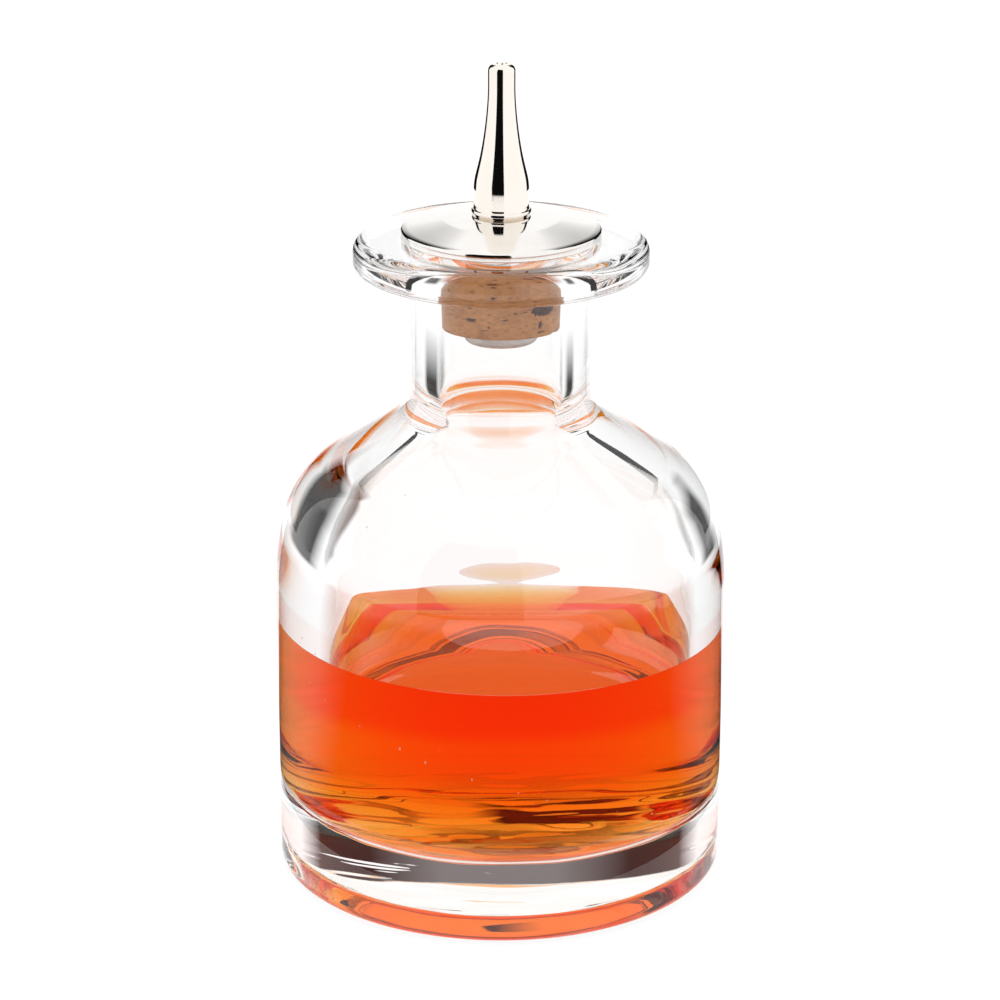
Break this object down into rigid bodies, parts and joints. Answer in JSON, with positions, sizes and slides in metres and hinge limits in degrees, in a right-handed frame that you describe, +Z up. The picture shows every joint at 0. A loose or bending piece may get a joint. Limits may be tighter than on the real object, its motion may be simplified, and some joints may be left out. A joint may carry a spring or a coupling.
{
  "type": "bitters bottle",
  "caption": "Squat round glass dash bottle with a thick base, short neck and flat flange, part filled with red bitters, closed by a cork stopper under a domed metal cap with a tapered spout.",
  "frame": {"origin": "centre of the ring of glass that the bottle stands on", "axes": "+Z up along the axis of the bottle and its stopper; the part is turned about it, so X and Y are free"},
  "size_m": [0.06, 0.06, 0.1107],
  "materials": {
    "clear_glass": "gloss",
    "bitters": "gloss",
    "cork": "matte",
    "polished_cap": "polished",
    "polished_spout": "polished",
    "steel_tube": "satin",
    "pale_ferrule": "satin"
  },
  "bodies": {
    "bottle": {"glass_bottle": "clear_glass", "bitters_liquid": "bitters"},
    "stopper": {"cork_stopper": "cork", "domed_cap": "polished_cap", "dasher_spout": "polished_spout", "stem_tube": "steel_tube", "stem_ferrule": "pale_ferrule"}
  },
  "joints": [
    {"name": "stopper_lift", "type": "slide", "parent": "bottle", "child": "stopper", "axis": [0, 0, 1], "range_m": [0, 0.04]}
  ]
}
